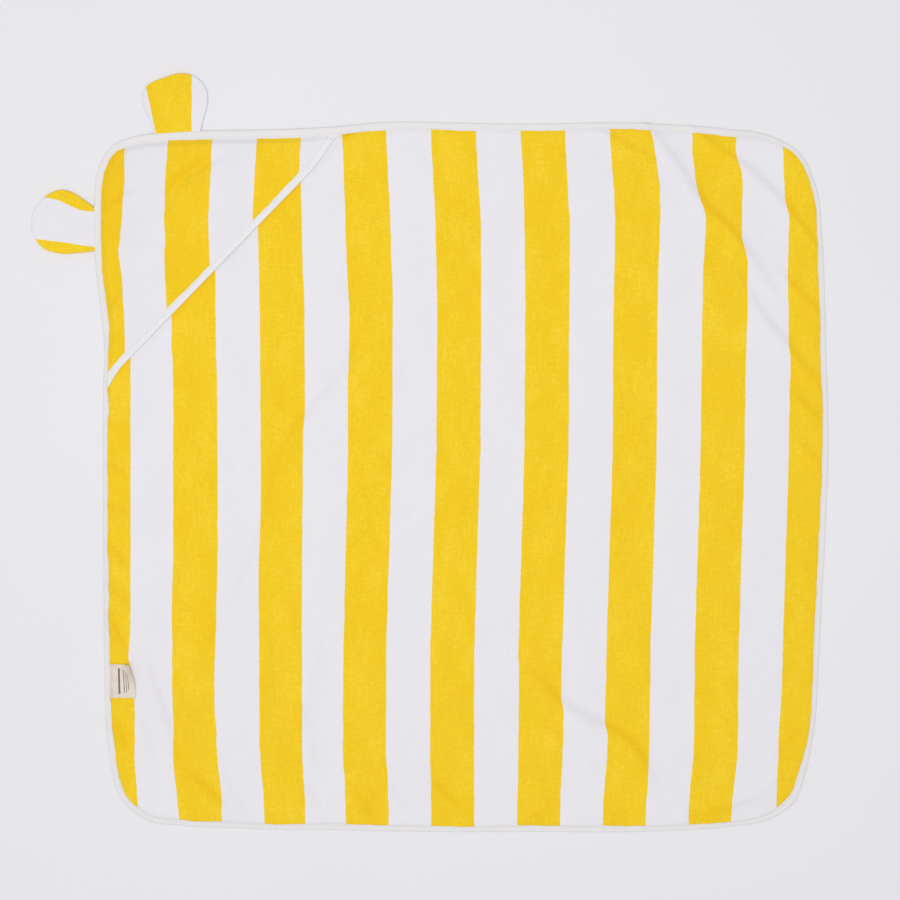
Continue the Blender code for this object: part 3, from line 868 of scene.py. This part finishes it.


# Hood ----------

# The hood is made in two halves, one at each seam, that meet on the line between them.
HOOD_CORNER = np.array([-0.400, 0.381])
EDGE_MIDDLE = EDGE_LENGTH * (HOOD_CORNER.sum() - FREE_EDGE_LEFT.sum()) / EDGE_RUN.sum()
HALF_LEG = (FREE_EDGE_LEFT + EDGE_ALONG * EDGE_MIDDLE)[0] - HOOD_CORNER[0]
ELSEWHERE = 9 * (outline.fine[:, 0] > -0.3)  # keeps the line's other crossing of the outline out
OFF_SPLIT = np.abs(outline.fine.sum(axis=1) - HOOD_CORNER.sum()) + ELSEWHERE
HOOD_MIDDLE = outline.along[np.argmin(OFF_SPLIT)]

HOOD_ROWS, HOOD_COLUMNS = 92, 46
BORDER_SHARE = 0.45  # the most of a row's length that its graded ends may take, each
HOOD_RISE = 7.0 * MM  # from the edge tape to where the hood's cloth has its full height
TIP = 14 * MM
TIP_INSET = 3.0 * MM  # how far inside the towel's edge the tape of the free edge ends


def hood_loft(places):
    """Height of the hood's underside over its seamed level."""
    sag = 1 - 0.90 * (1 - ramp(past_free_edge(places), 0, 80))
    from_left = places[..., 0] - FREE_EDGE_LEFT[0]
    from_top = FREE_EDGE_TOP[1] - places[..., 1]
    return HOOD_LOFT * ramp(from_left, 0, 70) * ramp(from_top, 0, 70) * sag


def hood_relief(places):
    """How far the hood is lifted by the folds of the towel and its own."""
    seamed = off_the_tape(*outline.locate(places), 8.0 * MM)
    return relief(places) + seamed * read_folds(places, HOOD_FOLDS)[0]


def hood_uv(places):
    """Cloth places of the hood, whose stripes wander more at the side."""
    x, y = places[..., 0], places[..., 1]
    inner, side = from_table(y, HOOD_SWAY), from_table(y, HOOD_SIDE)
    wander = inner + (side - inner) * at_side(x) - read_folds(places, HOOD_FOLDS)[1]
    return np.dstack([x - wander + STRIPE_OFFSET + HOOD_STRIPE_OFFSET, y])


def tip_pull(places):
    """How far the free edge bends to the left towards its upper tip."""
    return 10.5 * MM * (1 - ramp(FREE_EDGE_TOP[1] - places[..., 1], 0, 58))


def hood_plan(left):
    """Places of half the hood, fanned between its seam and its free edge, from its tip to the middle."""
    share = np.linspace(0, 1, HOOD_ROWS)
    seam_tip = HOOD_FROM + TIP if left else HOOD_TO - TIP
    edge_tip = TIP if left else EDGE_LENGTH - TIP
    seam = outline.inset(seam_tip + (HOOD_MIDDLE - seam_tip) * share, RIM_INSET)
    e = edge_tip + (EDGE_MIDDLE - edge_tip) * share
    edge = FREE_EDGE_LEFT + np.outer(e, EDGE_ALONG) + RIM_INSET * EDGE_INWARD
    edge[:, 0] -= tip_pull(edge)
    span = np.linalg.norm(edge - seam, axis=1)[:, None]
    grade = np.array([0.0, *RIM_GRADE]) * MM
    border = np.minimum(1.0, BORDER_SHARE * span / grade[-1]) * grade[None]
    even = np.linspace(0, 1, HOOD_COLUMNS)[None, 1:-1]
    middle = border[:, -1:] + (span - 2 * border[:, -1:]) * even
    run = np.concatenate([border, middle, span - border[:, ::-1]], axis=1) / span
    return seam[:, None] + run[..., None] * (edge - seam)[:, None]


def hood_half(name, left):
    """Half of the hood's terry, pressed thin in its seam and in the tape of its free edge."""
    plan = hood_plan(left)
    open_side = ramp(past_free_edge(plan) + tip_pull(plan) * EDGE_INWARD[0], 8.8, 4.5)
    low = HOOD_UNDERSIDE + hood_loft(plan) + RIM_LOW * (1 - open_side)
    high = low + PRESSED + (TERRY - PRESSED) * open_side
    seamed = off_the_tape(*outline.locate(plan), HOOD_RISE)
    lift = hood_relief(plan)
    under = HOOD_RIM_LOW + (low - HOOD_RIM_LOW) * seamed + lift
    over = HOOD_RIM_LOW + PRESSED + (high - HOOD_RIM_LOW - PRESSED) * seamed + lift
    corner = ramp(plan[..., 1], 262, 12) * ramp(plan[..., 0], -366, -20)
    painted_hood_shade = 0.25 + 0.45 * corner  # painted shade, faint over the whole hood and deeper in its corner
    painted_shade = np.maximum(read_folds(plan, HOOD_FOLDS)[2], painted_hood_shade)
    grids = (np.dstack([plan, height]) for height in (over, under))
    return shell(name, *grids, hood_uv(plan), TERRY_CLOTH, painted_shade)


def free_edge_tip(reach, left):
    """How far along the free edge the tape's cut end lies, cut in line with the towel's side."""
    if left:
        return (TIP_INSET - reach * EDGE_INWARD[0]) / EDGE_ALONG[0]
    return EDGE_LENGTH - (TIP_INSET + reach * EDGE_INWARD[1]) / EDGE_ALONG[1]


def free_edge_height(places, height):
    """Heights over the floor of tape that is flat where it goes under the edge binding."""
    free = off_the_tape(*outline.locate(places), HOOD_RISE)
    pressed = HOOD_RIM_LOW + 0.6 * height
    full = HOOD_UNDERSIDE + hood_loft(places) + height
    return pressed + (full - pressed) * free + hood_relief(places)


def tip_droop(places, reach):
    """How far the tape's outer side turns down the towel's edge at its left tip."""
    depth = places[..., 0] - FREE_EDGE_LEFT[0]
    return 9.5 * MM * (1 - ramp(depth, 0, 24)) * (1 - 0.75 * reach / TAPE_WIDTH)


def free_edge_places(e, reach):
    """Places of the free edge's tape, from distances along it and across it."""
    e, reach = np.broadcast_arrays(e, reach)
    places = FREE_EDGE_LEFT + e[..., None] * EDGE_ALONG + reach[..., None] * EDGE_INWARD
    places[..., 0] -= tip_pull(places)
    places[..., 1] -= tip_droop(places, reach)
    return places


def free_edge_half(name, left):
    """Half of the tape along the hood's free edge, from its tip to the middle."""
    count = ceil(EDGE_MIDDLE / (STITCH / 3))
    share = np.linspace(0, 1, count)
    level = EDGE_MIDDLE - free_edge_tip(tape_reach(STITCH_INSET, FREE_TAPE_WIDTH), left)
    section = tape_section(np.full(count, FREE_EDGE_HEIGHT), stitch_pull(level * (1 - share), STITCH))
    across = tape_reach(section[..., 0], FREE_TAPE_WIDTH)
    tip = free_edge_tip(across, left)
    e = tip + (EDGE_MIDDLE - tip) * share[:, None]
    places = free_edge_places(e, across + edge_wobble(e) * (section[..., 0] / TAPE_WIDTH) ** 2)
    points = np.dstack([places, free_edge_height(places, section[..., 1])])
    return swept(name, points, np.dstack([distances(section), e]), FREE_TAPE_CLOTH, ring=False)


def free_edge_stitches(name, left):
    """The stitches on half of the free edge's tape, as far as the edge binding."""
    inset = tape_reach(STITCH_INSET, FREE_TAPE_WIDTH)
    outward = -1 if left else 1
    last = free_edge_tip(inset, left) - outward * 10 * MM
    count = int(abs(EDGE_MIDDLE - last) / STITCH)
    e = EDGE_MIDDLE + outward * (np.arange(count) + 0.5) * STITCH
    places = free_edge_places(e, inset)
    height = free_edge_height(places, FREE_EDGE_HEIGHT + STITCH_LIFT)
    directions = np.tile(EDGE_ALONG, (count, 1))
    return stitches(name, np.column_stack([places, height]), directions, np.gradient(height, e))


# Ears ----------

# Ear outlines, from one end of the root round to the other: along the towel's edge, and out from it.
EAR_TOP_SHAPE = [
    (-26, 0), (-28.5, 13), (-35.5, 29), (-36.5, 44), (-31.5, 53), (-8, 63), (6.5, 66), (25.5, 60.5),
    (36.5, 45), (36.5, 30), (30.5, 13), (26, 0),
]
EAR_LEFT_SHAPE = [
    (-24, 0), (-25.8, 16), (-26.2, 39), (-19.5, 58), (0, 69.5), (22.5, 67.5), (38.8, 53.5), (45.6, 37),
    (42, 22.5), (32.5, 10), (24, 0),
]
EAR_RIM_GRADE = [0.12 * MM, 0.45 * MM, 1.0 * MM, 1.8 * MM, 3.2 * MM]
CROWN_FROM, CROWN_TO = 0.33, 0.67  # shares of an ear's outline between which its crown lies
EAR_LAYER = 2.6 * MM
EAR_GROOVE = 0.2 * MM
EAR_PUFF = 1.6 * MM
EAR_TUCK = 0.8 * MM  # how far the ear's root goes into the binding's fold
EAR_SETTLE = 20 * MM  # from the root to where an ear no longer follows the outline


def ear_grid(shape):
    """Places inside an ear's outline, closer together near its rim, and how deep in it they lie."""
    rim = OpenCurve(np.array(shape) * MM)
    across = graded(70 * MM, 2.0 * MM, EAR_RIM_GRADE)
    upward = graded(60 * MM, 2.0 * MM, EAR_RIM_GRADE)
    left = rim.read(CROWN_FROM * upward)
    right = rim.read(1 - (1 - CROWN_TO) * upward)
    crown = rim.read(CROWN_FROM + (CROWN_TO - CROWN_FROM) * across)
    root = left[0] + np.outer(across, right[0] - left[0])
    plan = patch(left, crown, right, root, across, upward)
    edge = rim.read(np.linspace(0, 1, 700))
    return plan, find_all(tree_of(edge), plan)[1]


def ear_places(local, root):
    """An ear's places in the plan: they follow the outline at its root, and lie as cut farther out."""
    x, y = local[..., 0], local[..., 1]
    s = outline.nearest(root)
    along = outline.tangent(s)
    outward = np.array([-along[1], along[0]])
    straight = outline.point(s) + x[..., None] * along + y[..., None] * outward
    following = outline.inset(s + x, EAR_TUCK * (1 - y / EAR_SETTLE) - y)
    return following + (straight - following) * smoothstep(y / EAR_SETTLE)[..., None]


def ear(name, root, shape, stripes, folds):
    """An ear of two layers, sewn together round the rim and turned, sewn into the edge along its root."""
    local, depth = ear_grid(shape)
    x, y = local[..., 0], local[..., 1]
    plan = ear_places(local, root)
    rounded = np.sqrt(1 - (1 - np.clip((depth + 0.05 * MM) / (1.9 * MM), 0, 1)) ** 2)
    full = ramp(y, 0, 8)
    thick = EAR_LAYER * (0.72 + 0.28 * full)
    puff = EAR_PUFF * ramp(depth, 0, 18) * ramp(y, 0, 26)
    seam = EAR_LAYER + EAR_GROOVE / 2 + 0.3 * MM * (1 + np.sin(x * 90 + 1)) * full
    uv = np.dstack([stripes(x, y), y])
    layers = []
    for part, side in (("front", 1), ("back", -1)):
        middle = seam + side * (EAR_GROOVE / 2 + thick / 2)
        rise = puff + read_folds(plan, folds)[0] if side > 0 else 0 * puff
        far = middle + side * (thick / 2) * rounded + rise
        near = middle - side * (thick / 2) * rounded + rise * 0.9
        grids = [np.dstack([plan, height]) for height in (far, near)[::side]]
        layers.append(shell(f"{name}_{part}", *grids, uv, TERRY_CLOTH))
    return layers


def across_band(x, low, high):
    """Where x lies across a band between low and high: -0.5 to 0.5."""
    return (x - low) / (high - low) - 0.5


def top_ear_stripes(x, y):
    """One yellow band, a little off the middle."""
    low, high = -24 * MM - 0.14 * y, 16.5 * MM + 0.08 * y
    return across_band(x, low, high) * YELLOW_SHARE * STRIPE_PITCH


LEFT_EAR_BAND = {0: 19.5, 14: 21.6, 25: 27.0, 39: 33.9, 52: 37.3, 70: 38.5}  # upper side of the white band


def left_ear_stripes(x, y):
    """A white band between two yellow ones."""
    low, high = -20 * MM + 0.165 * y, from_table(y, LEFT_EAR_BAND)
    return STRIPE_PITCH / 2 + across_band(x, low, high) * (1 - YELLOW_SHARE) * STRIPE_PITCH


TOP_EAR_FOLDS = [
    Fold([(-324, 396), (-322, 425), (-318, 452)], 0.7, 5),
    Fold([(-352, 430), (-340, 448)], 0.6, 6),
]
LEFT_EAR_FOLDS = [
    Fold([(-422, 294), (-450, 290), (-478, 300)], 0.7, 6),
    Fold([(-424, 272), (-455, 270)], 0.5, 5),
]

# Label ----------

LABEL_LENGTH = 29.5 * MM
LABEL_PLY = 0.45 * MM
LABEL_START = 5 * MM  # how far inside the outline the ribbon is sewn down
LABEL_CURL = 1.25  # radians
LABEL_LEVEL, LABEL_RISE = 2.95, 1.5  # mm: height of the ribbon's middle where it is sewn, and what it gains
LABEL_HALF, LABEL_SWELL = 0.50, 0.25  # mm: the same for half its thickness
LABEL_ROWS, LABEL_COLUMNS, LABEL_BEND = 40, 60, 7


def there_and_back(values):
    """Values along the ribbon's lower side, round its bend and back along its upper side."""
    bend = np.repeat(values[:, -1:], LABEL_BEND, axis=1)
    return np.concatenate([values, bend, values[:, ::-1]], axis=1)


def label_run(up):
    """The ribbon's middle in rows: places, height and slope. Its upper far corner has curled up."""
    run = np.linspace(0, LABEL_LENGTH, LABEL_COLUMNS)
    y = LABEL_LOW_Y + (LABEL_HIGH_Y - LABEL_LOW_Y) * up
    start = outline.inset([along_left(place) for place in y], LABEL_START)
    curl = LABEL_CURL * smoothstep((up - 0.10) / 0.95)
    slope = curl[:, None] * smoothstep((run[None] - 7 * MM) / (LABEL_LENGTH - 7 * MM)) ** 1.2
    step = run[1] - run[0]
    forth = np.cumsum(np.cos(slope) * step, axis=1) - step
    rise = np.cumsum(np.sin(slope) * step, axis=1)
    places = np.dstack([start[:, :1] + forth, y[:, None] + 0 * forth - 0.10 * rise])
    return run, places, rise, slope


def label():
    """A folded ribbon, sewn in under the binding."""
    up = np.linspace(0, 1, LABEL_ROWS)
    run, places, rise, slope = label_run(up)
    free = ramp(run, 1, 5)[None]
    height = rise + relief(places) + (LABEL_LEVEL + LABEL_RISE * free) * MM
    half = (LABEL_HALF + LABEL_SWELL * free) * MM + 0 * height
    sides = np.full(LABEL_COLUMNS, pi / 2)
    turn = np.concatenate([-sides, np.linspace(-pi / 2, pi / 2, LABEL_BEND + 2)[1:-1], sides])
    heading = there_and_back(slope) + turn
    plies = []
    for inside in (0.0, LABEL_PLY):
        offset = there_and_back(half) - inside
        x = there_and_back(places[..., 0]) + offset * np.cos(heading)
        z = there_and_back(height) + offset * np.sin(heading)
        plies.append(np.dstack([x, there_and_back(places[..., 1]), z]))
    plain = np.full(LABEL_COLUMNS + LABEL_BEND, -10 * MM)  # the underside and the bend have no rules
    u = np.concatenate([plain, run[::-1] - LABEL_START])
    v = (up - 0.5) * (LABEL_HIGH_Y - LABEL_LOW_Y)
    uv = np.dstack([np.tile(u, (LABEL_ROWS, 1)), np.tile(v[:, None], (1, len(u)))])
    return shell("label_ribbon", *plies, uv, RIBBON)


# Floor, light and camera ----------

FLOOR_REACH = 40.0
FLOOR_DROP = 0.1 * MM
WIDTH_SEEN = 1.0227  # across the picture, on the floor


def floor():
    """A plain floor just under the towel."""
    n = Nodes("studio_floor", roughness=0.9, specular=0.2)
    colour = n.mix(n.noise(n.uv(), 3.0), *FLOOR_TONES)
    n.finish(colour, n.bump(n.noise(n.uv(), 900, detail=1.0), 0.05 * MM, 0.1))
    corners = [(x * FLOOR_REACH, y * FLOOR_REACH, 0) for x, y in ((-1, -1), (1, -1), (1, 1), (-1, 1))]
    data = bpy.data.meshes.new("studio_floor")
    data.from_pydata(corners, [], [(0, 1, 2, 3)])
    layer = data.uv_layers.new(name="cloth")
    layer.data.foreach_set("uv", [value for corner in corners for value in corner[:2]])
    data.materials.append(n.material)
    item = put_in_scene("studio_floor", data)
    item.location.z = -FLOOR_DROP


def turned(direction):
    """The rotation of a light that shines in a direction."""
    return Vector(direction).to_track_quat("-Z", "Y").to_euler()


def light():
    """Soft light from all round, a wide lamp over the towel, and a soft sun almost overhead."""
    world = bpy.data.worlds.new("studio")
    world.use_nodes = True
    background = world.node_tree.nodes["Background"]
    background.inputs["Color"].default_value = (0.985, 0.985, 1.0, 1)
    background.inputs["Strength"].default_value = 0.50
    bpy.context.scene.world = world
    lamp = bpy.data.lights.new("overhead", "AREA")
    lamp.shape, lamp.size, lamp.energy, lamp.color = "DISK", 1.0, 7.0, (1.0, 0.99, 0.98)
    item = put_in_scene("overhead", lamp)
    item.location = (-0.15, 0.15, 1.8)
    item.rotation_euler = turned((0, 0, -1.8))
    sun = bpy.data.lights.new("key", "SUN")
    sun.energy, sun.angle, sun.color = 1.07, radians(30), (1.0, 0.985, 0.965)
    put_in_scene("key", sun).rotation_euler = turned((0.1, 0.4, -2.4))


def camera():
    """Straight above, as the towel was photographed."""
    data = bpy.data.cameras.new("camera")
    data.lens, data.sensor_width = 100, 36
    item = put_in_scene("camera", data)
    item.location = (0.0233, 0.0025, WIDTH_SEEN * data.lens / data.sensor_width)
    bpy.context.scene.camera = item


# Assembly ----------


def settle(nodes):
    """The CAD nodes that a piece stands for are hidden."""
    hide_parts(*nodes)


def crossing(piece, body, start, end):
    """The piece's transform is baked into its mesh; body is not used, and start and end, places in the plan,
    are shifted into the frame but not used further.
    """
    start, end = ((x + SHIFT[0], y + SHIFT[1], 0.0) for x, y in (start, end))
    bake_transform(piece)


def add_towel():
    """The towel's own pieces; returns its cloth."""
    cloth, tape, seam = towel(), perimeter_binding(), perimeter_stitches()
    settle(["towel_panel"])
    settle(["perimeter_binding"])
    settle(["perimeter_stitching"])
    for piece in (cloth, tape, seam):
        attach(piece, "towel")
    return cloth


def add_hood():
    """Both halves of the hood, each with the tape and stitches of its free edge."""
    left_leg = ((HOOD_CORNER[0], 0.2), (HOOD_CORNER[0] + HALF_LEG, 0.2))
    top_leg = ((-0.3, HOOD_CORNER[1]), (-0.3, HOOD_CORNER[1] - HALF_LEG))
    for side, left, leg in (("left", True, left_leg), ("top", False, top_leg)):
        half = hood_half(f"hood_{side}_half", left)
        tape = free_edge_half(f"hood_edge_tape_{side}", left)
        seam = free_edge_stitches(f"hood_edge_stitches_{side}", left)
        settle(["hood_panel"])
        settle(["hood_edge_binding"])
        settle(["hood_edge_stitching"])
        for piece in (half, tape, seam):
            crossing(piece, "hood", *leg)


def add_ears():
    """Both ears, each of two layers."""
    for body, root, shape, stripes, folds in (
        ("ear_top", EAR_TOP_ROOT, EAR_TOP_SHAPE, top_ear_stripes, TOP_EAR_FOLDS),
        ("ear_left", EAR_LEFT_ROOT, EAR_LEFT_SHAPE, left_ear_stripes, LEFT_EAR_FOLDS),
    ):
        s = outline.nearest(root)
        start, end = outline.inset(np.array([s, s]), np.array([0.0, -12 * MM]))
        front, back = ear(body + "_cloth", root, shape, stripes, folds)
        settle([body + "_front", body + "_seam"])
        settle([body + "_back"])
        for layer in (front, back):
            crossing(layer, body, start, end)


def add_label():
    """The label, which bends where it leaves the binding."""
    ribbon = label()
    settle(["label"])
    crossing(ribbon, "label_tab", (-0.3975, -0.23), (-0.3925, -0.23))


def main():
    bpy.context.scene.view_settings.view_transform = "Standard"
    camera()
    light()
    floor()
    cloth = add_towel()
    add_hood()
    add_ears()
    add_label()


main()
